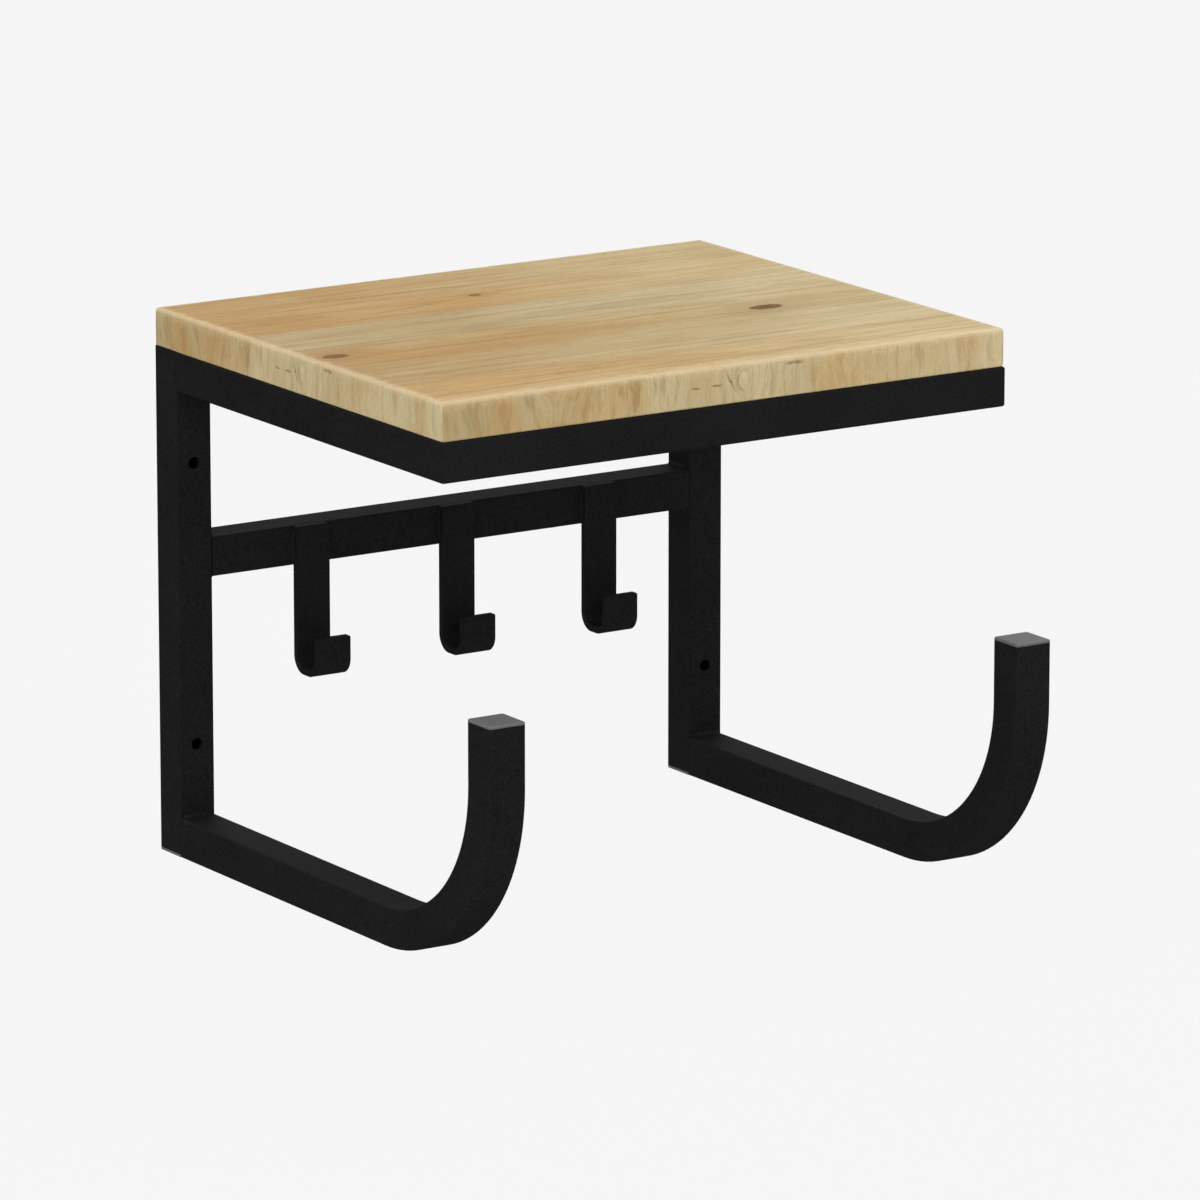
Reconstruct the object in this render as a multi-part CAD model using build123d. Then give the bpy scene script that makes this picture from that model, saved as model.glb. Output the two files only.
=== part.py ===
from build123d import *
import os

# Bicycle wall rack: a welded square-tube frame that carries a wooden shelf, two long
# upturned hooks for the bicycle and three small strap hooks below the shelf.
#
# Frame: the origin is the centre of the four wall screw holes, on the wall plane.
# +X runs along the wall to the right of a person facing the rack, +Y points into the
# wall and +Z is up. The whole rack is on the -Y side of the wall plane.
# All sizes are in millimetres.

os.makedirs("parts", exist_ok=True)

# ---------------------------------------------------------------- driving dimensions
tube = 18.0                      # outer side of the square tube
wall = 1.5                       # thickness of the tube's wall
corner = 1.2                     # outer corner radius of the tube

shelf_width = 16.0 * tube
shelf_depth = 240.0
board_thickness = 17.0
board_edge_radius = 2.0          # upper arrises and upright corners
board_underside_chamfer = 0.6

crossbar_drop = 4.75 * tube      # shelf frame's top face down to the crossbar's top face
frame_height = 12.75 * tube      # shelf frame's top face down to the uprights' lower ends

bike_hook_reach = 15.375 * tube  # wall to the outer face of the upturned end
bike_hook_bend = 4.25 * tube     # bend radius at the tube's centreline
bike_hook_tip_drop = 6.375 * tube    # shelf frame's top face down to the hook's tip

hole_radius = 2.75               # clearance for a 5 mm wall screw
hole_drop = 51.0                 # shelf frame's top face down to the upper wall holes
hole_pitch = 127.5               # upper wall holes down to the lower ones

strap_width = 17.0               # small hooks: bent flat strap
strap_thickness = 3.0
strap_bend = 5.0                 # inner bend radius
strap_pitch = 76.0               # from one small hook to the next
strap_drop = 66.5                # crossbar's top face down to the lowest point
strap_reach = 20.5               # crossbar's front face out to the tip's front face
strap_tip_height = 18.5          # lowest point up to the top of the tip
strap_tip_round = 1.0            # rounding of the strap's corners at both ends

plug_head = 1.5                  # end plugs: thickness of the head
plug_round = 0.8                 # rounding of the head's outer edge
plug_seam = 0.25                 # chamfer that shows where the head meets the tube
plug_body = 12.6                 # side of the hollow body inside the tube
plug_skin = 1.6                  # wall thickness of the body
plug_depth = 13.0                # length of the body inside the tube
plug_rib = 1.2                   # height of each rib
plug_rib_count = 3

screw_radius = 2.0               # wood screws that hold the board from below
screw_length = 30.0              # under the head
screw_point = 3.0                # length of the tapered point
screw_point_radius = 0.3         # at the very tip
screw_head_radius = 4.0
screw_head_height = 2.0
screw_head_round = 1.2
screw_clearance = 0.25           # around the screw, in the side rail's walls
recess_length = 4.4              # cross recess in the screw's head
recess_width = 1.1
recess_depth = 1.4
front_screw_inset = 45.0         # board's front edge back to the front screws
rear_screw_inset = 60.0          # wall to the rear screws

overshoot = 1.0                  # how far a cutter runs past the face it opens

# ---------------------------------------------------------------- places
half_tube = tube / 2
bore = tube - 2 * wall
frame_top = hole_drop + hole_pitch / 2
frame_bottom = frame_top - frame_height
upright_x = shelf_width / 2 - half_tube
wall_tube_y = -half_tube
upright_front_y = -tube
front_rail_y = half_tube - shelf_depth
rail_z = frame_top - half_tube
crossbar_top = frame_top - crossbar_drop
crossbar_z = crossbar_top - half_tube
arm_z = frame_bottom + half_tube
hook_end_y = half_tube - bike_hook_reach
hook_tube_end_z = frame_top - bike_hook_tip_drop - plug_head
screw_seat = frame_top - tube
sides = {"left": -1, "right": 1}
screw_rows = {"front": front_screw_inset - shelf_depth, "rear": -rear_screw_inset}


# ---------------------------------------------------------------- shared shapes
def tube_section():
    """Hollow square section with rounded outer corners, centred on the origin."""
    return RectangleRounded(tube, tube, corner) - Rectangle(bore, bore)


def straight_tube(start, end):
    """Square tube with its centreline from start to end, along one axis."""
    run = Vector(*end) - Vector(*start)
    return extrude(Plane(origin=start, z_dir=run) * tube_section(), amount=run.length)


def upright_rod(x, y, bottom, top, radius):
    """Cylinder along Z between two heights."""
    return Pos(x, y, (bottom + top) / 2) * Cylinder(radius, top - bottom)


def mitre_plane(side):
    """Upright plane that cuts one front corner of the shelf frame at 45 degrees.

    Its normal points to the front rail's side."""
    outer_corner = (side * shelf_width / 2, -shelf_depth, rail_z)
    return Plane(origin=outer_corner, z_dir=(-side, -1, 0))


# ---------------------------------------------------------------- wooden board
def shelf_board():
    """Board with eased edges and blind pilot holes for the screws below it."""
    board = Box(shelf_width, shelf_depth, board_thickness)
    board = Pos(0, -shelf_depth / 2, frame_top + board_thickness / 2) * board
    eased = board.edges().filter_by(Axis.Z) + board.edges().group_by(Axis.Z)[-1]
    board = fillet(eased, board_edge_radius)
    board = chamfer(board.edges().group_by(Axis.Z)[0], board_underside_chamfer)
    pilot_bottom = frame_top - overshoot
    pilot_top = screw_seat + screw_length
    for side in sides.values():
        for y in screw_rows.values():
            board -= upright_rod(side * upright_x, y, pilot_bottom, pilot_top, screw_radius)
    return board


# ---------------------------------------------------------------- frame tubes
def upright(side):
    """Wall tube from the board's underside down to its foot plug, with two screw holes."""
    x = side * upright_x
    bar = straight_tube((x, wall_tube_y, frame_bottom + plug_head), (x, wall_tube_y, frame_top))
    drill = Rot(90, 0, 0) * Cylinder(hole_radius, tube + 2 * overshoot)
    for z in (-hole_pitch / 2, hole_pitch / 2):
        bar -= Pos(x, wall_tube_y, z) * drill
    return bar


def wall_rail(z):
    """Tube between the two uprights, flush with their front and back faces."""
    end_x = upright_x - half_tube
    return straight_tube((-end_x, wall_tube_y, z), (end_x, wall_tube_y, z))


def front_rail():
    """Front tube of the shelf frame, mitred at both ends."""
    end_x = shelf_width / 2
    rail = straight_tube((-end_x, front_rail_y, rail_z), (end_x, front_rail_y, rail_z))
    for side in sides.values():
        rail = split(rail, bisect_by=mitre_plane(side), keep=Keep.TOP)
    return rail


def side_rail(side):
    """Side tube of the shelf frame, from the upright to the front mitre."""
    x = side * upright_x
    rail = straight_tube((x, upright_front_y, rail_z), (x, -shelf_depth, rail_z))
    rail = split(rail, bisect_by=mitre_plane(side), keep=Keep.BOTTOM)
    hole_bottom = screw_seat - overshoot
    hole_top = frame_top + overshoot
    for y in screw_rows.values():
        rail -= upright_rod(x, y, hole_bottom, hole_top, screw_radius + screw_clearance)
    return rail


# ---------------------------------------------------------------- hooks
def bike_hook(side):
    """Bent tube from the upright's front face out to the upturned end."""
    x = side * upright_x
    route = FilletPolyline(
        (x, upright_front_y, arm_z),
        (x, hook_end_y, arm_z),
        (x, hook_end_y, hook_tube_end_z),
        radius=bike_hook_bend,
    )
    return sweep(Plane(origin=route @ 0, z_dir=route % 0) * tube_section(), path=route)


def small_hook(x):
    """Flat strap on the crossbar's front face, bent forwards and up at its lower end."""
    half = strap_thickness / 2
    back_y = upright_front_y - half
    tip_y = upright_front_y - strap_reach + half
    lowest = crossbar_top - strap_drop
    route = FilletPolyline(
        (x, back_y, crossbar_top),
        (x, back_y, lowest + half),
        (x, tip_y, lowest + half),
        (x, tip_y, lowest + strap_tip_height),
        radius=strap_bend + half,
    )
    section = Plane(origin=route @ 0, x_dir=(1, 0, 0), z_dir=route % 0)
    strap = sweep(section * Rectangle(strap_width, strap_thickness), path=route)
    end_corners = strap.edges().filter_by(Axis.Y).group_by(Edge.length)[0]
    return fillet(end_corners, strap_tip_round)


# ---------------------------------------------------------------- plugs and screws
def end_plug():
    """Ribbed plastic plug: its head stands on Z = 0 and its hollow body hangs below."""
    head = Pos(0, 0, plug_head / 2) * Box(tube, tube, plug_head)
    head = fillet(head.edges().filter_by(Axis.Z), corner)
    head = fillet(head.edges().group_by(Axis.Z)[-1], plug_round)
    head = chamfer(head.edges().group_by(Axis.Z)[0], plug_seam)
    hollow = Rectangle(plug_body - 2 * plug_skin, plug_body - 2 * plug_skin)
    plug = head + extrude(Rectangle(plug_body, plug_body) - hollow, amount=-plug_depth)
    rib = extrude(Rectangle(bore, bore) - hollow, amount=plug_rib)
    for index in range(plug_rib_count):
        plug += Pos(0, 0, -plug_depth * (index + 1) / (plug_rib_count + 1)) * rib
    return plug


def board_screw(x, y):
    """Pan-head wood screw that passes up through a side rail into the board."""
    point_z = screw_seat + screw_length - screw_point
    shank = upright_rod(x, y, screw_seat, point_z, screw_radius)
    point = Cone(screw_radius, screw_point_radius, screw_point)
    head_z = screw_seat - screw_head_height
    head = upright_rod(x, y, head_z, screw_seat, screw_head_radius)
    head = fillet(head.edges().group_by(Axis.Z)[0], screw_head_round)
    recess = Box(recess_length, recess_width, recess_depth)
    recess += Box(recess_width, recess_length, recess_depth)
    screw = head + shank + Pos(x, y, point_z + screw_point / 2) * point
    return screw - Pos(x, y, head_z + recess_depth / 2) * recess


# ---------------------------------------------------------------- the assembly
nodes = {
    "shelf_board": shelf_board(),
    "front_rail": front_rail(),
    "rear_rail": wall_rail(rail_z),
    "crossbar": wall_rail(crossbar_z),
}
for side_name, side in sides.items():
    x = side * upright_x
    hook_end = Pos(x, hook_end_y, hook_tube_end_z)
    upright_end = Pos(x, wall_tube_y, frame_bottom + plug_head)
    nodes[f"{side_name}_upright"] = upright(side)
    nodes[f"{side_name}_side_rail"] = side_rail(side)
    nodes[f"{side_name}_bike_hook"] = bike_hook(side)
    nodes[f"{side_name}_hook_tip_plug"] = hook_end * end_plug()
    nodes[f"{side_name}_upright_foot_plug"] = upright_end * Rot(180, 0, 0) * end_plug()
    for row_name, y in screw_rows.items():
        nodes[f"{row_name}_{side_name}_board_screw"] = board_screw(x, y)
for hook_name, place in (("left", -1), ("middle", 0), ("right", 1)):
    nodes[f"{hook_name}_small_hook"] = small_hook(place * strap_pitch)

for name, shape in nodes.items():
    export_step(shape, f"parts/{name}.step")
    print(f"{name}: {len(shape.solids())} solid, {shape.volume:.1f} mm3")
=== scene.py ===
import math
import random

import bmesh
import bpy
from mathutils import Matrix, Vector


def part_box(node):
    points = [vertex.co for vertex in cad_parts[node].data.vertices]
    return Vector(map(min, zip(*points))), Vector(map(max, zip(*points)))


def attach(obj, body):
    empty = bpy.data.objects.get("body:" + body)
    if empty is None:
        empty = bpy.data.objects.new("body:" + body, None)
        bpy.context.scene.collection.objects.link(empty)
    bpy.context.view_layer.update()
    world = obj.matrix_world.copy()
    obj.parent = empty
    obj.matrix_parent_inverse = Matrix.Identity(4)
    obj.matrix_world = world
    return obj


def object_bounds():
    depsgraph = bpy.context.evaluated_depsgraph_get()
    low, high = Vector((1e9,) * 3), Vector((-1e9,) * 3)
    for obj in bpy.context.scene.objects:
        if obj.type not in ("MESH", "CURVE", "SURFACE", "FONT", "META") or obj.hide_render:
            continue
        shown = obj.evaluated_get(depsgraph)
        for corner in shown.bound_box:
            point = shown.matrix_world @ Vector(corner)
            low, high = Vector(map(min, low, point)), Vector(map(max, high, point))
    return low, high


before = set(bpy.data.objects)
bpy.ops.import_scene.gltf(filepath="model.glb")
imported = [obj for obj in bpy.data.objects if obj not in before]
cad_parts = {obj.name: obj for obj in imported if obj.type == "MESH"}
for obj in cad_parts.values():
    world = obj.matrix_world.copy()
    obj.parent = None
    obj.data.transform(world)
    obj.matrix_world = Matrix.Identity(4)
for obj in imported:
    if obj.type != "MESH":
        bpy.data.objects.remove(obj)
cad_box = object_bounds()

# Sizes are in metres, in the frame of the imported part: +X to the right along the wall,
# +Y into the wall, +Z up, with the origin between the four wall screw holes.
MM = 0.001


# ---------------------------------------------------------------- camera
VIEW_AZIMUTH = -32.8        # degrees, 0 looks straight at the wall
VIEW_ELEVATION = 13.35      # degrees above the horizon
VIEW_DISTANCE = 3.917
LENS = 268.0                # long lens: the rack fills the frame from that distance
SENSOR = 36.0
FAR_CLIP = 200.0


def make_camera():
    """Camera at the viewing angle and distance, aimed at the middle of the rack."""
    low, high = cad_box
    centre = (low + high) / 2
    azimuth = math.radians(VIEW_AZIMUTH)
    elevation = math.radians(VIEW_ELEVATION)
    back = Vector((
        math.sin(azimuth) * math.cos(elevation),
        -math.cos(azimuth) * math.cos(elevation),
        math.sin(elevation),
    ))
    data = bpy.data.cameras.new("camera")
    data.lens = LENS
    data.sensor_width = SENSOR
    data.clip_end = FAR_CLIP
    camera = bpy.data.objects.new("camera", data)
    bpy.context.scene.collection.objects.link(camera)
    camera.location = centre + back * VIEW_DISTANCE
    camera.rotation_mode = "QUATERNION"
    camera.rotation_quaternion = (-back).to_track_quat("-Z", "Y")
    bpy.context.scene.camera = camera


make_camera()


# ---------------------------------------------------------------- node-tree helpers
class Nodes:
    """Writes a node tree. A value may be a number, a colour of three numbers or an output."""

    def __init__(self, tree):
        self.tree = tree

    def feed(self, socket, value):
        if isinstance(value, bpy.types.NodeSocket):
            self.tree.links.new(value, socket)
        elif socket.type == "RGBA":
            socket.default_value = (*value, 1.0)
        else:
            socket.default_value = value

    def node(self, kind, inputs=(), **settings):
        made = self.tree.nodes.new(kind)
        for key, value in settings.items():
            setattr(made, key, value)
        for key, value in dict(inputs).items():
            self.feed(made.inputs[key], value)
        return made

    def math(self, operation, first, second=0.0, third=0.0):
        made = self.node("ShaderNodeMath", operation=operation)
        for socket, value in zip(made.inputs, (first, second, third)):
            self.feed(socket, value)
        return made.outputs[0]

    def plus(self, value, factor, rest):
        """value times factor, plus rest."""
        return self.math("MULTIPLY_ADD", value, factor, rest)

    def times(self, first, second):
        return self.math("MULTIPLY", first, second)

    def minus(self, first, second):
        return self.math("SUBTRACT", first, second)

    def size(self, value):
        return self.math("ABSOLUTE", value)

    def most(self, first, second):
        return self.math("MAXIMUM", first, second)

    def least(self, first, second):
        return self.math("MINIMUM", first, second)

    def fraction(self, value, start, end):
        """How far value is from start to end."""
        return self.math("DIVIDE", self.minus(value, start), end - start)

    def length(self, first, second):
        """Length of the vector (first, second)."""
        return self.math("SQRT", self.plus(second, second, self.times(first, first)))

    def split(self, vector):
        return self.node("ShaderNodeSeparateXYZ", {"Vector": vector}).outputs

    def split_colour(self, colour):
        return tuple(self.node("ShaderNodeSeparateColor", {"Color": colour}).outputs)[:3]

    def join(self, x, y, z=0.0):
        return self.node("ShaderNodeCombineXYZ", {"X": x, "Y": y, "Z": z}).outputs[0]

    def noise(self, vector, scale, detail=2.0, roughness=0.5):
        inputs = {"Vector": vector, "Scale": scale, "Detail": detail, "Roughness": roughness}
        return self.node("ShaderNodeTexNoise", inputs).outputs[0]

    def stretched_noise(self, point, scales, detail=2.0, roughness=0.5):
        """Noise at a point of two or three values, with its own scale along each of them."""
        vector = self.join(*[self.times(value, scale) for value, scale in zip(point, scales)])
        return self.noise(vector, 1.0, detail, roughness)

    def random(self, number, seed):
        """A random value in 0..1 for a whole number."""
        inputs = {"Vector": self.join(number, seed)}
        white = self.node("ShaderNodeTexWhiteNoise", inputs, noise_dimensions="3D")
        return self.split_colour(white.outputs["Color"])[0]

    def ramp(self, value, low, high, to_low=0.0, to_high=1.0):
        """Smooth step from to_low at low to to_high at high."""
        inputs = {"Value": value, "From Min": low, "From Max": high}
        inputs.update({"To Min": to_low, "To Max": to_high})
        made = self.node("ShaderNodeMapRange", inputs, interpolation_type="SMOOTHSTEP")
        return made.outputs[0]

    def stops(self, value, interpolation, rows):
        """Colour ramp through rows of a position and a colour with alpha."""
        made = self.node("ShaderNodeValToRGB", {"Fac": value})
        made.color_ramp.interpolation = interpolation
        elements = made.color_ramp.elements
        elements.remove(elements[1])
        for number, (position, colour) in enumerate(rows):
            element = elements[0] if number == 0 else elements.new(position)
            element.position = position
            element.color = colour
        return made.outputs["Color"], made.outputs["Alpha"]

    def mix(self, factor, first, second, data_type="RGBA"):
        """Mix of two colours."""
        made = self.node("ShaderNodeMix", data_type=data_type)
        for name, value in (("Factor", factor), ("A", first), ("B", second)):
            self.feed(made.inputs[name], value)
        return made.outputs["Result"]

    def blend(self, factor, first, second):
        """Mix of two numbers."""
        return self.mix(factor, first, second, data_type="FLOAT")


class Shader(Nodes):
    """One material and its node tree."""

    def __init__(self, name):
        self.material = bpy.data.materials.new(name)
        self.material.use_nodes = True
        super().__init__(self.material.node_tree)
        self.surface = self.tree.nodes["Principled BSDF"]

    def place(self):
        """Position and normal in the object's own frame, in metres."""
        outputs = self.node("ShaderNodeTexCoord").outputs
        return outputs["Object"], outputs["Normal"]

    def dress(self, colour, roughness, height, relief):
        """Feeds the surface's colour and roughness, and bumps of the relief's depth."""
        bump = self.node("ShaderNodeBump", {"Height": height, "Distance": relief})
        self.feed(self.surface.inputs["Base Color"], colour)
        self.feed(self.surface.inputs["Roughness"], roughness)
        self.feed(self.surface.inputs["Normal"], bump.outputs[0])


# ---------------------------------------------------------------- powder coat
COAT_CLOUD, COAT_PEEL, COAT_GRIT = 24.0, 900.0, 3200.0      # cells per metre
COAT_SPECKS = (0.40, 0.66)  # between which heights of the grit a speck brightens
COAT_PEEL_SHADE = (0.34, 0.62)    # and of the peel, where painted shade darkens its hollows and leaves its crests lighter
COAT_BLACKS = ((0.0036, 0.0036, 0.0038), (0.0222, 0.0222, 0.0228))
COAT_RELIEF = 0.07 * MM
COAT_SPECULAR = 0.05


def powder_coat():
    """Matt black powder coat: fine grit over orange peel, uneven in tone and gloss, with painted shade
    in the peel's hollows.
    """
    shader = Shader("powder_coat")
    place, _ = shader.place()
    peel = shader.noise(place, COAT_PEEL, detail=3.0, roughness=0.55)
    grit = shader.noise(place, COAT_GRIT, detail=2.0, roughness=0.6)
    cloud = shader.noise(place, COAT_CLOUD, detail=3.0)
    speck = shader.ramp(grit, *COAT_SPECKS)
    # Painted shade: the peel's hollows darker, its crests lighter.
    peel_shade = shader.ramp(peel, *COAT_PEEL_SHADE)
    tone = shader.plus(peel_shade, 0.25, shader.plus(speck, 0.45, shader.times(cloud, 0.30)))
    gloss = shader.plus(grit, 0.10, shader.plus(cloud, 0.14, 0.47))
    shader.dress(shader.mix(tone, *COAT_BLACKS), gloss, shader.plus(grit, 0.45, peel), COAT_RELIEF)
    shader.surface.inputs["Specular IOR Level"].default_value = COAT_SPECULAR
    return shader.material


# ---------------------------------------------------------------- plug plastic
PLASTIC_CLOUD, PLASTIC_SPARK = 120.0, 2400.0        # cells per metre
PLASTIC_GREYS = ((0.110, 0.110, 0.1105), (0.156, 0.156, 0.1565))
PLASTIC_RELIEF = 0.05 * MM


def plug_plastic():
    """Dark grey moulded plastic with a fine spark-eroded texture."""
    shader = Shader("plug_plastic")
    place, _ = shader.place()
    spark = shader.noise(place, PLASTIC_SPARK, detail=3.0, roughness=0.7)
    cloud = shader.noise(place, PLASTIC_CLOUD)
    tone = shader.plus(cloud, 0.5, 0.25)
    gloss = shader.plus(spark, 0.16, 0.27)
    shader.dress(shader.mix(tone, *PLASTIC_GREYS), gloss, spark, PLASTIC_RELIEF)
    return shader.material


# ---------------------------------------------------------------- zinc screws
ZINC_CLOUD, ZINC_GRAIN, ZINC_TURNING = 260.0, 1800.0, 5200.0    # cells per metre
ZINC_GREYS = ((0.42, 0.43, 0.44), (0.60, 0.60, 0.58))
ZINC_RELIEF = 0.02 * MM
TURNING_RISE = 0.02         # how little the turning marks change along the screw


def zinc_steel():
    """Bright zinc plating with faint turning marks round each screw's axis."""
    front_low, front_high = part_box("front_right_board_screw")
    rear_low, rear_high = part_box("rear_right_board_screw")
    front_axis, rear_axis = (front_low + front_high) / 2, (rear_low + rear_high) / 2
    shader = Shader("zinc_steel")
    place, _ = shader.place()
    x, y, z = shader.split(place)
    # Folding the plan twice, left on right and front on rear, puts the four axes on one.
    from_middle = shader.minus(y, (front_axis.y + rear_axis.y) / 2)
    off_x = shader.minus(shader.size(x), front_axis.x)
    off_y = shader.minus(shader.size(from_middle), (rear_axis.y - front_axis.y) / 2)
    round_axis = shader.join(shader.length(off_x, off_y), shader.times(z, TURNING_RISE))
    turning = shader.noise(round_axis, ZINC_TURNING, detail=3.0)
    grain = shader.noise(place, ZINC_GRAIN, detail=3.0, roughness=0.6)
    cloud = shader.noise(place, ZINC_CLOUD)
    gloss = shader.plus(turning, 0.12, shader.plus(grain, 0.16, 0.20))
    height = shader.plus(turning, 0.8, shader.times(grain, 0.5))
    shader.dress(shader.mix(cloud, *ZINC_GREYS), gloss, height, ZINC_RELIEF)
    shader.surface.inputs["Metallic"].default_value = 1.0
    return shader.material


# ---------------------------------------------------------------- wood
# Staves of the top from the front edge back: lightness, warmth, place in the log.
STAVE_LOOKS = (
    (0.60, 0.82, 0.62),
    (0.34, 0.50, 0.18),
    (0.26, 0.72, 0.80),
    (0.36, 0.18, 0.35),
    (0.35, 0.87, 0.55),
    (0.33, 0.76, 0.12),
)
# Zones of the edges, from left to right: where each is centred, as a fraction of the
# edge, then its lightness, lean (0.5 is upright), strength of its streaks and warmth.
EDGE_ZONES = (
    (0.03, 0.38, 0.60, 0.30, 0.12),
    (0.10, 0.32, 0.50, 0.25, 0.64),
    (0.16, 0.45, 0.72, 0.60, 0.25),
    (0.22, 0.42, 0.28, 0.65, 0.65),
    (0.28, 0.62, 0.40, 0.20, 0.45),
    (0.33, 0.48, 0.50, 1.00, 0.40),
    (0.39, 0.65, 0.55, 0.30, 0.25),
    (0.46, 0.50, 0.50, 0.12, 0.18),
    (0.55, 0.55, 0.40, 0.45, 0.25),
    (0.62, 0.34, 0.50, 0.20, 0.48),
    (0.71, 0.38, 0.62, 0.25, 0.85),
    (0.76, 0.42, 0.45, 0.35, 0.80),
    (0.83, 0.45, 0.50, 0.80, 0.52),
    (0.89, 0.34, 0.50, 0.15, 0.62),
    (0.935, 0.20, 0.55, 0.45, 1.00),
    (0.98, 0.55, 0.50, 0.35, 0.50),
)
# Knots in the faces: place from the left and from the front, as fractions of the board,
# the radius across the grain, how many times longer it is along it, and how dark it is.
KNOTS = (
    (0.042, 0.441, 4.1 * MM, 1.5, 0.68),
    (0.786, 0.395, 4.3 * MM, 2.0, 1.00),
    (0.460, 0.775, 1.7 * MM, 2.0, 0.70),
)
# Dark flecks in the edges: place along the edge and up from the underside, as fractions,
# then half the length and half the height.
EDGE_FLECKS = (
    (0.441, 0.50, 2.3 * MM, 0.42 * MM),
    (0.478, 0.50, 2.7 * MM, 0.60 * MM),
    (0.617, 0.83, 4.6 * MM, 0.80 * MM),
)
SWIRL = (0.528, 0.56)        # a pale knot in the edges that the grain runs round
SWIRL_RADIUS = 3.6 * MM
CRACK = (0.503, 0.60)        # a crooked crack beside it
CRACK_REACH = 8.5 * MM
CRACK_LEAN = 0.46
UNMARKED_SHIFT = 0.413       # metres along the grain to the unmarked edges' stretch

RING_SPACING = 2.5 * MM      # of the growth rings on the faces
EDGE_RING_SPACING = 1.9 * MM
RING_SEED, EDGE_RING_SEED = 5.0, 9.0
RING_RISE, RING_DROP = (0.25, 0.86), (0.90, 1.0)    # where in its ring a line darkens and ends
LOG_SHIFT = 57.0             # spreads the staves apart in the noise that bends their rings
# Stretch of each noise: cells per metre along x, y and z on the faces, and along and up
# the edges. Those with one number are as fine every way.
FACE_RAGGED = (180.0, 420.0, 1.0)
FACE_STREAK = (9.0, 260.0, 260.0)
FACE_FIBRE = (60.0, 1500.0, 1500.0)
FACE_PORE = (190.0, 2900.0, 2900.0)
EDGE_SOFT = (120.0, 90.0)
EDGE_STREAK = (300.0, 45.0)
EDGE_FIBRE = (1700.0, 260.0)
EDGE_CLOUD = 70.0
EDGE_PORE = 1600.0
# cells per metre of the ragged edge of the pale strip, wear and painted highlight
PALE_STRIP_RAGGED = 240.0
BOARD_CLOUD = 17.0
CLOUD_SQUEEZE = 2.2          # the cloud is this much finer from front to rear

WARM_WOOD = ((0.495, 0.300, 0.112), (0.640, 0.440, 0.195))    # darkest and lightest
COOL_WOOD = ((0.440, 0.335, 0.168), (0.680, 0.570, 0.335))
LATE_WOOD = ((0.330, 0.225, 0.098), (0.370, 0.190, 0.060))    # in cool and in warm wood
PORE_BROWN = (0.200, 0.115, 0.045)
GLUE_BROWN = (0.230, 0.135, 0.055)
HEART_BROWN = (0.190, 0.070, 0.010)
RIM_BROWN = (0.050, 0.020, 0.003)
# Pale wood of the arrises and of the strip beside them: partly sanding and wear, partly painted
# highlight.
SANDED_AND_HIGHLIT_WOOD = (0.740, 0.620, 0.400)
RUBBED_AND_HIGHLIT_WOOD = (0.780, 0.620, 0.385)
WOOD_RELIEF = 0.06 * MM
WOOD_SPECULAR = 0.15
PALER, COOLER, CALMER = 0.48, 0.49, 0.35    # how much, at the board's right end
LIGHT_RANGE = (-0.1, 1.25)   # from all of the darkest wood to all of the lightest
WARM_RANGE = (-0.1, 1.05)    # from all of the cool wood to all of the warm
EDGE_NORMAL = (0.66, 0.72)   # a surface that leans this far outwards counts as an edge
PALE_STRIP_DEPTH = 5.0 * MM         # how wide the pale strip along the top's edges is, rubbed wear and painted highlight
FRONT_STRIP_WEIGHT = 0.40             # distances from the front count this much, so it is wider there


class BoardPlace:
    """Where a point of the board's surface is, as outputs of one shader."""

    def __init__(self, shader):
        self.low, self.high = low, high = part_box("shelf_board")
        self.width, self.depth = high.x - low.x, high.y - low.y
        self.point, normal = shader.place()
        self.x, self.y, self.z = shader.split(self.point)
        out_x, out_y, out_z = shader.split(normal)
        self.steep = shader.size(out_z)
        on_side = shader.ramp(shader.size(out_x), *EDGE_NORMAL)
        on_front = shader.ramp(shader.size(out_y), *EDGE_NORMAL)
        self.on_edge = shader.most(on_side, on_front)
        # From left to right, and on the side edges from the rear to the front.
        self.from_left = shader.fraction(self.x, low.x, high.x)
        from_rear = shader.math("DIVIDE", shader.minus(high.y, self.y), self.depth)
        self.along = shader.blend(on_side, self.from_left, from_rear)
        # The right and rear edges come from another stretch of the grain, and have no marks.
        unmarked = shader.ramp(shader.most(out_x, out_y), *EDGE_NORMAL)
        self.run = shader.plus(unmarked, UNMARKED_SHIFT, shader.times(self.along, self.width))
        self.marked = shader.minus(1.0, unmarked)


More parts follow.
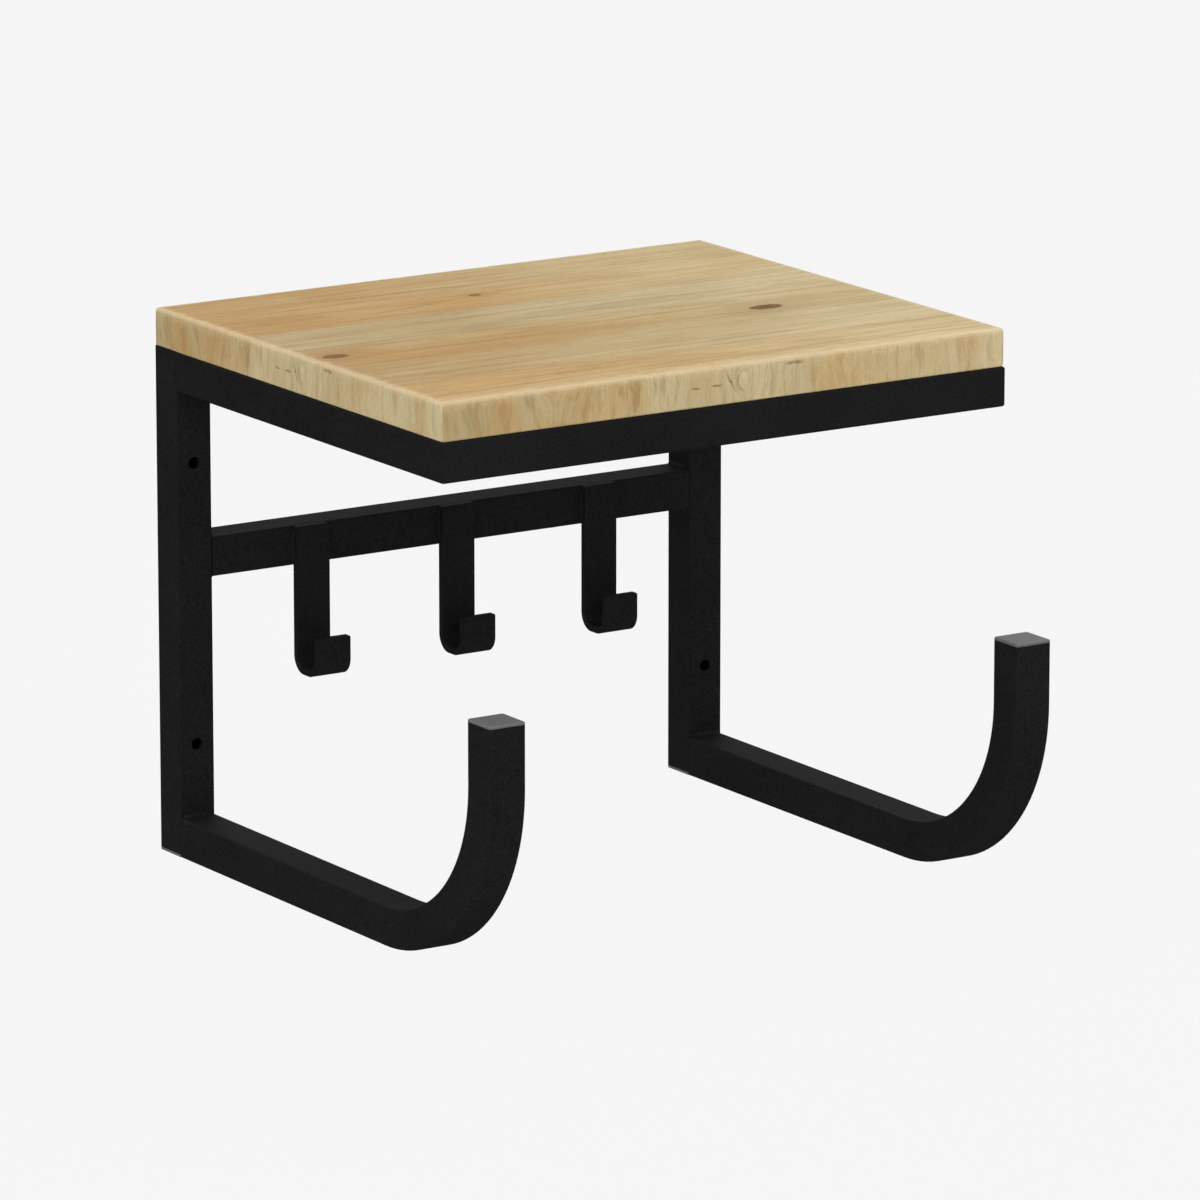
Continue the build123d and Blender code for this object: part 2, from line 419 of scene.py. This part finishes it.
def knots(shader, board, ragged):
    """Knots in the faces: heart, rim and halo from 0 to 1, and how far they push the grain aside."""
    heart, rim, halo, push = 0.0, 0.0, 0.0, 0.0
    for from_left, from_front, radius, stretch, darkness in KNOTS:
        off_x = shader.minus(board.x, board.low.x + from_left * board.width)
        off_x = shader.math("DIVIDE", off_x, stretch)
        off_y = shader.minus(board.y, board.low.y + from_front * board.depth)
        distance = shader.length(off_x, off_y)
        near = shader.ramp(distance, radius * 0.8, radius * 3.6, -0.62, 0.0)
        push = shader.plus(off_y, near, push)
        distance = shader.plus(ragged, 0.55 * radius, distance)
        inside = shader.ramp(distance, radius * 0.72, radius * 1.16, 0.35 + 0.65 * darkness, 0.0)
        core = shader.ramp(distance, 0.0, radius * 0.45, 0.7 * darkness, 0.0)
        from_rim = shader.size(shader.minus(distance, radius * 0.88))
        band = shader.ramp(from_rim, 0.0, radius * 0.28, 0.75 * darkness, 0.0)
        ring = shader.math("FRACT", shader.math("DIVIDE", distance, radius * 0.24))
        ring = shader.times(shader.ramp(ring, 0.30, 0.90, 0.0, 0.60 * darkness), inside)
        split = shader.size(shader.plus(ragged, 0.5 * radius, shader.plus(off_y, 0.35, off_x)))
        split = shader.times(
            shader.ramp(split, radius * 0.03, radius * 0.15, darkness, 0.0),
            shader.ramp(distance, radius * 0.35, radius * 0.80, 1.0, 0.0))
        heart = shader.most(heart, inside)
        for mark in (core, band, ring, split):
            rim = shader.most(rim, mark)
        halo = shader.most(halo, shader.ramp(distance, radius * 0.8, radius * 5.0, 1.0, 0.0))
    return heart, rim, halo, push


def growth_rings(shader, distance, spacing, seed):
    """Thin dark late-wood lines, each ring with its own strength."""
    turns = shader.math("DIVIDE", distance, spacing)
    phase = shader.math("FRACT", turns)
    rise = shader.ramp(phase, *RING_RISE)
    drop = shader.ramp(phase, *RING_DROP, 1.0, 0.0)
    strength = shader.plus(shader.random(shader.math("FLOOR", turns), seed), 0.75, 0.25)
    return shader.times(shader.times(rise, drop), strength)


def face_grain(shader, board):
    """Long grain of the top and underside: tones, rings, streaks, fibres, pores, glue lines, knots."""
    count = len(STAVE_LOOKS)
    from_front = shader.fraction(board.y, board.low.y, board.high.y)
    rows = [(number / count, (*look, 1.0)) for number, look in enumerate(STAVE_LOOKS)]
    light, warm, shift = shader.split_colour(shader.stops(from_front, "CONSTANT", rows)[0])
    in_stave = shader.math("FRACT", shader.times(from_front, count))
    seam = shader.ramp(shader.size(shader.minus(in_stave, 0.5)), 0.490, 0.4985)

    here = (board.x, board.y, board.z)
    ragged = shader.minus(shader.stretched_noise(here, FACE_RAGGED, detail=3.0), 0.5)
    heart, rim, halo, push = knots(shader, board, ragged)

    # Rings are circles round the log's heart, which lies at its own depth below each
    # stave and dips along it. They wander, more so round the knots.
    slow = shader.join(
        shader.plus(board.x, 8.0, shader.times(shift, LOG_SHIFT)),
        shader.times(board.y, 30.0),
        shader.times(board.z, 30.0),
    )
    wander = shader.minus(shader.noise(slow, 1.0, detail=4.0, roughness=0.45), 0.5)
    wander = shader.plus(halo, 0.3, wander)
    heart_y = shader.plus(shader.minus(in_stave, shift), board.depth / count, push)
    heart_depth = shader.plus(light, 26.0 * MM, 6.0 * MM)
    dip = shader.times(shader.minus(warm, 0.5), 0.07)
    heart_z = shader.math("ADD", shader.plus(board.x, dip, board.z), heart_depth)
    heart_z = shader.minus(heart_z, board.high.z)
    distance = shader.plus(wander, 10.0 * MM, shader.length(heart_y, heart_z))

    flow = (board.x, shader.math("ADD", board.y, push), board.z)
    return {
        "light": light, "warm": warm,
        "ring": growth_rings(shader, distance, RING_SPACING, RING_SEED),
        "streak": shader.stretched_noise(flow, FACE_STREAK, detail=4.0, roughness=0.6),
        "fibre": shader.stretched_noise(flow, FACE_FIBRE, detail=3.0, roughness=0.65),
        "pore": shader.ramp(shader.stretched_noise(flow, FACE_PORE), 0.62, 0.73),
        "line": seam, "heart": heart, "rim": rim, "halo": halo,
    }


def offsets(shader, board, along, up):
    """How far a point of an edge is along and above a place given by two fractions."""
    thickness = board.high.z - board.low.z
    return (shader.times(shader.minus(board.along, along), board.width),
            shader.minus(shader.minus(board.z, board.low.z), up * thickness))


def edge_marks(shader, board, soft, from_swirl, swirl_run):
    """Crack, rim of the pale knot and flecks, from 0 to 1. They show where board.marked is 1."""
    crack_run, crack_rise = offsets(shader, board, *CRACK)
    fade = shader.ramp(shader.length(crack_run, crack_rise), 1.0 * MM, CRACK_REACH, 0.62, 0.0)
    off = shader.plus(soft, 9.0 * MM, shader.plus(crack_rise, CRACK_LEAN, crack_run))
    crack = shader.times(shader.ramp(shader.size(off), 0.15 * MM, 0.95 * MM, 1.0, 0.0), fade)
    rim = shader.size(shader.minus(from_swirl, SWIRL_RADIUS))
    rim = shader.ramp(shader.plus(soft, 2.0 * MM, rim), 0.0, 0.8 * MM, 0.42, 0.0)
    left_half = shader.ramp(swirl_run, -SWIRL_RADIUS, 0.6 * SWIRL_RADIUS, 1.0, 0.0)
    dark = shader.most(crack, shader.times(rim, left_half))
    for along, up, half_length, half_height in EDGE_FLECKS:
        off_run, off_rise = offsets(shader, board, along, up)
        reach = shader.length(
            shader.math("DIVIDE", off_run, half_length),
            shader.math("DIVIDE", shader.plus(soft, 2.0 * MM, off_rise), half_height))
        dark = shader.most(dark, shader.ramp(reach, 0.4, 1.3, 0.62, 0.0))
    return shader.times(dark, board.marked)


def edge_grain(shader, board):
    """Upright grain of the four edges, in soft zones that lean one way or the other."""
    rows = [(centre, look) for centre, *look in EDGE_ZONES]
    zones, zone_warm = shader.stops(board.along, "EASE", rows)
    light, lean, strength = shader.split_colour(zones)
    here = shader.join(board.x, board.y, board.z)
    soft = shader.stretched_noise((board.run, board.z), EDGE_SOFT, detail=3.0)
    soft = shader.minus(soft, 0.5)

    swirl_run, swirl_rise = offsets(shader, board, *SWIRL)
    from_swirl = shader.length(swirl_run, shader.times(swirl_rise, 0.8))
    around, pale = [
        shader.times(board.marked, shader.ramp(from_swirl, low, high, 1.0, 0.0))
        for low, high in ((0.5 * SWIRL_RADIUS, 2.6 * SWIRL_RADIUS),
                          (0.3 * SWIRL_RADIUS, 0.95 * SWIRL_RADIUS))]

    slant = shader.times(shader.minus(lean, 0.5), 1.3)
    bent = shader.plus(shader.minus(board.z, board.low.z), slant, board.run)
    bent = shader.plus(soft, 4.5 * MM, bent)
    bent = shader.math("ADD", bent, shader.times(shader.times(swirl_run, around), -0.72))
    flow = (bent, board.z)
    streak = shader.stretched_noise(flow, EDGE_STREAK, detail=4.0, roughness=0.58)
    contrast = shader.plus(strength, 2.1, 0.35)
    ring = growth_rings(shader, bent, EDGE_RING_SPACING, EDGE_RING_SEED)
    cloud = shader.minus(shader.noise(here, EDGE_CLOUD, detail=3.0, roughness=0.6), 0.5)
    dark = edge_marks(shader, board, soft, from_swirl, swirl_run)
    return {
        "light": shader.plus(pale, 0.35, light),
        "warm": shader.plus(cloud, 1.7, zone_warm),
        "ring": shader.times(ring, shader.plus(strength, 0.85, 0.12)),
        "streak": shader.plus(shader.minus(streak, 0.5), contrast, 0.5),
        "fibre": shader.stretched_noise(flow, EDGE_FIBRE, detail=3.0, roughness=0.7),
        "pore": shader.ramp(shader.noise(here, EDGE_PORE), 0.63, 0.72),
        "line": 0.0, "heart": dark, "rim": shader.times(dark, 0.35), "halo": 0.0,
    }


def grain_colour(shader, grain, light, warm, calm):
    """Colour of the wood from its tones and its grain. calm weakens the streaks and rings."""
    colour = shader.mix(warm, shader.mix(light, *COOL_WOOD), shader.mix(light, *WARM_WOOD))
    late = shader.mix(warm, *LATE_WOOD)
    streak = shader.times(shader.ramp(grain["streak"], 0.42, 0.76, 0.0, 0.66), calm)
    ring = shader.times(shader.times(grain["ring"], 0.46), calm)
    heart = shader.times(grain["heart"], shader.ramp(grain["fibre"], 0.35, 0.70, 0.84, 0.97))
    layers = (
        (streak, late),
        (ring, late),
        (shader.ramp(grain["fibre"], 0.40, 0.75, 0.0, 0.30), late),
        (shader.times(grain["pore"], 0.38), PORE_BROWN),
        (shader.times(grain["line"], 0.30), GLUE_BROWN),
        (shader.times(grain["halo"], 0.45), late),
        (heart, HEART_BROWN),
        (shader.times(grain["rim"], 0.62), RIM_BROWN),
    )
    for strength, tint in layers:
        colour = shader.mix(strength, colour, tint)
    return colour


def wear_and_highlight(shader, board, colour, cloud, fibre):
    """Pales the arrises, as sanding and painted highlight, and a ragged strip of the wood beside the
    upper ones, as rubbed wear and painted highlight.
    """
    arris = shader.times(
        shader.ramp(board.steep, 0.08, 0.40),
        shader.ramp(board.steep, 0.93, 0.995, 1.0, 0.0))
    # Painted highlight on the rounded arrises of the top and underside, over the paleness of their
    # sanding.
    colour = shader.mix(shader.times(arris, 0.26), colour, SANDED_AND_HIGHLIT_WOOD)
    inset = shader.minus(board.high.x, shader.size(board.x))
    inset = shader.least(inset, shader.minus(board.high.y, board.y))
    inset = shader.least(inset, shader.times(shader.minus(board.y, board.low.y), FRONT_STRIP_WEIGHT))
    reach = shader.math("ADD", inset, shader.minus(board.high.z, board.z))
    strip_noise = shader.noise(board.point, PALE_STRIP_RAGGED, detail=4.0, roughness=0.65)
    reach = shader.plus(cloud, 4.0 * MM, reach)
    reach = shader.plus(shader.minus(strip_noise, 0.5), 7.0 * MM, reach)
    reach = shader.plus(shader.minus(fibre, 0.5), 6.0 * MM, reach)
    # A pale strip beside the upper arrises: rubbed wear and painted highlight.
    pale_strip = shader.ramp(reach, 0.5 * MM, PALE_STRIP_DEPTH, 0.46, 0.0)
    pale_strip = shader.times(pale_strip, shader.plus(board.on_edge, -0.45, 1.0))
    return shader.mix(pale_strip, colour, RUBBED_AND_HIGHLIT_WOOD)


def board_wood():
    """Light oiled hardwood: staves along X on the faces, soft upright grain on the edges."""
    shader = Shader("board_wood")
    board = BoardPlace(shader)
    face, edge = face_grain(shader, board), edge_grain(shader, board)
    grain = {key: shader.blend(board.on_edge, face[key], edge[key]) for key in face}

    # The board is paler, cooler and calmer towards its right end, and the side edges
    # towards the front, with slow clouds of tone all over.
    rightward = shader.ramp(shader.blend(board.on_edge, board.from_left, board.along), 0.10, 1.0)
    cloud = shader.join(board.x, shader.times(board.y, CLOUD_SQUEEZE), board.z)
    cloud = shader.minus(shader.noise(cloud, BOARD_CLOUD, detail=3.0), 0.5)
    light = shader.plus(cloud, 0.9, shader.plus(rightward, PALER, grain["light"]))
    warm = shader.plus(cloud, -0.7, shader.plus(rightward, -COOLER, grain["warm"]))
    light = shader.ramp(light, *LIGHT_RANGE)
    warm = shader.ramp(warm, *WARM_RANGE)
    colour = grain_colour(shader, grain, light, warm, shader.plus(rightward, -CALMER, 1.0))
    # Paler arrises and a strip beside the upper ones: wear and painted highlight.
    colour = wear_and_highlight(shader, board, colour, cloud, grain["fibre"])

    gloss = shader.plus(grain["ring"], -0.06, shader.plus(grain["fibre"], 0.20, 0.44))
    height = grain["fibre"]
    for key, rise in (("ring", -0.4), ("pore", -1.3), ("line", -1.0), ("rim", -0.8)):
        height = shader.plus(grain[key], rise, height)
    shader.dress(colour, gloss, height, WOOD_RELIEF)
    shader.surface.inputs["Specular IOR Level"].default_value = WOOD_SPECULAR
    return shader.material


# ---------------------------------------------------------------- finishes of the CAD nodes
coat = powder_coat()
plastic = plug_plastic()
zinc = zinc_steel()
wood = board_wood()


def finish_of(name):
    """The material that a CAD node wears."""
    if name == "shelf_board":
        return wood
    if name.endswith("_plug"):
        return plastic
    if name.endswith("_screw"):
        return zinc
    return coat


for node_name, node_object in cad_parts.items():
    for material_slot in node_object.material_slots:
        material_slot.material = finish_of(node_name)


# ---------------------------------------------------------------- weld beads
WELD_LEG = 2.0 * MM
STRAP_WELD_LEG = 1.4 * MM
WELD_INSET = 1.6 * MM       # ends of a bead stay this far inside the tube's edges
WELD_PITCH = 1.7 * MM       # length of one ripple
WELD_STEP = 0.28 * MM       # spacing of the mesh along the bead
WELD_SINK = 0.35 * MM       # how far its hidden sides reach into the steel
WELD_ARC_POINTS = 8
WELD_SWELL = 0.07           # how much thicker or thinner a ripple may be
WELD_CREST = 0.11           # height of a ripple, as part of the leg
WELD_CREST_POWER = 0.7      # under 1, a ripple is steeper where it starts
WELD_BOW = 0.45             # how far a ripple bows towards the bead's start, in ripples
WELD_FLAT, WELD_ROUND = 0.55, 0.45      # shares of a flat and of a round face
WELD_TAPER = 1.6            # length of the rounded ends, in legs
WELD_BLUNT = 0.06           # how far along its taper an end starts
weld_random = random.Random(11)


def weld_sections(length, leg):
    """Outlines along a bead: the travel, then pairs of distances out from the two faces."""
    count = int(length / WELD_STEP)
    ripples = int(length / WELD_PITCH) + 4
    swell = [1.0 + weld_random.uniform(-WELD_SWELL, WELD_SWELL) for _ in range(ripples)]
    for step in range(count + 1):
        travel = length * step / count
        from_end = min(travel, length - travel) / (WELD_TAPER * leg)
        taper = math.sqrt(max(0.0, 1.0 - (1.0 - min(1.0, from_end + WELD_BLUNT)) ** 2))
        outline = []
        for point in range(WELD_ARC_POINTS + 1):
            turn = math.pi / 2 * point / WELD_ARC_POINTS
            from_sides = math.sin(2 * turn)      # 0 at the bead's sides, 1 in its middle
            phase = travel / WELD_PITCH + WELD_BOW * from_sides
            ripple = int(phase)
            crest = math.sin(math.pi * (phase - ripple) ** WELD_CREST_POWER)
            flat = point / WELD_ARC_POINTS
            out_first = WELD_FLAT * (1.0 - flat) + WELD_ROUND * math.cos(turn)
            out_second = WELD_FLAT * flat + WELD_ROUND * math.sin(turn)
            size = leg * taper * swell[ripple] * (1.0 + WELD_CREST * crest * from_sides)
            outline.append((size * out_first, size * out_second))
        last = leg * taper
        outline += [(-WELD_SINK, last), (-WELD_SINK, -WELD_SINK), (last, -WELD_SINK)]
        yield travel, outline


def weld_bead(name, start, end, first_side, second_side, leg):
    """Rippled fillet weld from start to end, in the corner between two faces.

    first_side and second_side are the outward directions of those faces.
    """
    start, end = Vector(start), Vector(end)
    first_side, second_side = Vector(first_side), Vector(second_side)
    length = (end - start).length
    direction = (end - start) / length
    shape = bmesh.new()
    loops = []
    for travel, outline in weld_sections(length, leg):
        middle = start + direction * travel
        loops.append([
            shape.verts.new(middle + first_side * out_first + second_side * out_second)
            for out_first, out_second in outline])
    for before, after in zip(loops, loops[1:]):
        for point in range(len(before)):
            following = (point + 1) % len(before)
            shape.faces.new((before[point], before[following], after[following], after[point]))
    shape.faces.new(loops[0])
    shape.faces.new(loops[-1])
    bmesh.ops.recalc_face_normals(shape, faces=shape.faces)
    for face in shape.faces:
        face.smooth = True
    mesh = bpy.data.meshes.new(name)
    shape.to_mesh(mesh)
    shape.free()
    mesh.materials.append(coat)
    bead = bpy.data.objects.new(name, mesh)
    bpy.context.scene.collection.objects.link(bead)
    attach(bead, "root")


def frame_welds():
    """Beads in the inner corners of the steel frame, the same on both sides."""
    up, down, front, rear = (0, 0, 1), (0, 0, -1), (0, -1, 0), (0, 1, 0)
    bar_low, bar_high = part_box("crossbar")
    rail_low, rail_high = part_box("rear_rail")
    nose_low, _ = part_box("front_rail")
    for side, mirror in (("left", 1), ("right", -1)):
        post_low, post_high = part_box(side + "_upright")
        arm_low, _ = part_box(side + "_bike_hook")
        tube = post_high.x - post_low.x
        inner_x = max(post_low.x * mirror, post_high.x * mirror) * mirror
        outer_x = min(post_low.x * mirror, post_high.x * mirror) * mirror
        inward = (mirror, 0, 0)
        across = (outer_x + WELD_INSET * mirror, inner_x - WELD_INSET * mirror)
        back = (bar_low.y + WELD_INSET, bar_high.y - WELD_INSET)
        upright = (rail_low.z + WELD_INSET, rail_high.z - WELD_INSET)
        arm_top = arm_low.z + tube
        nose_back = nose_low.y + tube
        beads = (
            ("crossbar_top", [(inner_x, y, bar_high.z) for y in back], up, inward),
            ("crossbar_under", [(inner_x, y, bar_low.z) for y in back], down, inward),
            ("rear_rail_under", [(inner_x, y, rail_low.z) for y in back], down, inward),
            ("rear_rail_front", [(inner_x, rail_low.y, z) for z in upright], front, inward),
            ("side_rail_under", [(x, post_low.y, rail_low.z) for x in across], down, front),
            ("hook_arm_top", [(x, post_low.y, arm_top) for x in across], up, front),
            ("front_corner", [(inner_x, nose_back, z) for z in upright], rear, inward),
        )
        for name, (start, end), first_side, second_side in beads:
            weld_bead("weld_" + name + "_" + side, start, end, first_side, second_side, WELD_LEG)


def strap_welds():
    """Two small beads beside each small hook, where its strap lies on the crossbar."""
    bar_low, bar_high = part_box("crossbar")
    for place in ("left", "middle", "right"):
        low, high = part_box(place + "_small_hook")
        for edge, edge_x, outward in (("left", low.x, (-1, 0, 0)), ("right", high.x, (1, 0, 0))):
            weld_bead("weld_" + place + "_small_hook_" + edge,
                      (edge_x, bar_low.y, bar_low.z + WELD_INSET),
                      (edge_x, bar_low.y, bar_high.z - WELD_INSET),
                      (0, -1, 0), outward, STRAP_WELD_LEG)


frame_welds()
strap_welds()


# ---------------------------------------------------------------- floor and light
FLOOR_DROP = 4.2            # below the rack's lowest point
FLOOR_SIZE = 400.0
FLOOR_GREYS = ((0.835, 0.835, 0.835), (0.850, 0.850, 0.850))
FLOOR_ROUGHNESS = 0.9
FLOOR_SPECULAR = 0.1
BACKDROP = 0.92             # what the camera sees past the floor's far edge
SKY_LOW = 0.10              # studio walls near the horizon, as the rack sees them
SKY_HIGH = 1.20             # the ceiling softbox
SKY_RISE = (0.08, 0.75)     # heights of the sky's direction between which it brightens
SOFTBOX_TOWARDS = (0.51, 0.71, -0.45)
SOFTBOX_ENERGY = 0.75
SOFTBOX_SPREAD = 60         # degrees


def make_floor():
    """Plain pale floor, well below the rack, kept out of its reflections."""
    shader = Shader("floor_paint")
    place, _ = shader.place()
    cloud = shader.noise(place, 0.25)
    shader.feed(shader.surface.inputs["Base Color"], shader.mix(cloud, *FLOOR_GREYS))
    shader.surface.inputs["Roughness"].default_value = FLOOR_ROUGHNESS
    shader.surface.inputs["Specular IOR Level"].default_value = FLOOR_SPECULAR
    half = FLOOR_SIZE / 2
    level = cad_box[0].z - FLOOR_DROP
    corners = [(-half, -half, level), (half, -half, level), (half, half, level), (-half, half, level)]
    mesh = bpy.data.meshes.new("floor")
    mesh.from_pydata(corners, [], [(0, 1, 2, 3)])
    mesh.materials.append(shader.material)
    floor = bpy.data.objects.new("floor", mesh)
    floor.visible_glossy = False
    bpy.context.scene.collection.objects.link(floor)


def make_sky():
    """Bright ceiling, dim walls, and an even pale backdrop for the camera."""
    world = bpy.data.worlds.new("studio")
    bpy.context.scene.world = world
    world.use_nodes = True
    sky = Nodes(world.node_tree)
    direction = sky.node("ShaderNodeTexCoord").outputs["Generated"]
    walls = sky.ramp(sky.split(direction)[2], *SKY_RISE, SKY_LOW, SKY_HIGH)
    seen = sky.node("ShaderNodeLightPath").outputs["Is Camera Ray"]
    background = sky.tree.nodes["Background"]
    sky.feed(background.inputs["Color"], (1.0, 1.0, 1.0))
    sky.feed(background.inputs["Strength"], sky.blend(seen, walls, BACKDROP))


def make_softbox():
    """Broad soft light from the front left, above."""
    data = bpy.data.lights.new("front_softbox", "SUN")
    data.energy = SOFTBOX_ENERGY
    data.angle = math.radians(SOFTBOX_SPREAD)
    light = bpy.data.objects.new("front_softbox", data)
    bpy.context.scene.collection.objects.link(light)
    light.rotation_mode = "QUATERNION"
    light.rotation_quaternion = Vector(SOFTBOX_TOWARDS).to_track_quat("-Z", "Y")


make_floor()
make_sky()
make_softbox()
bpy.context.scene.view_settings.view_transform = "Standard"
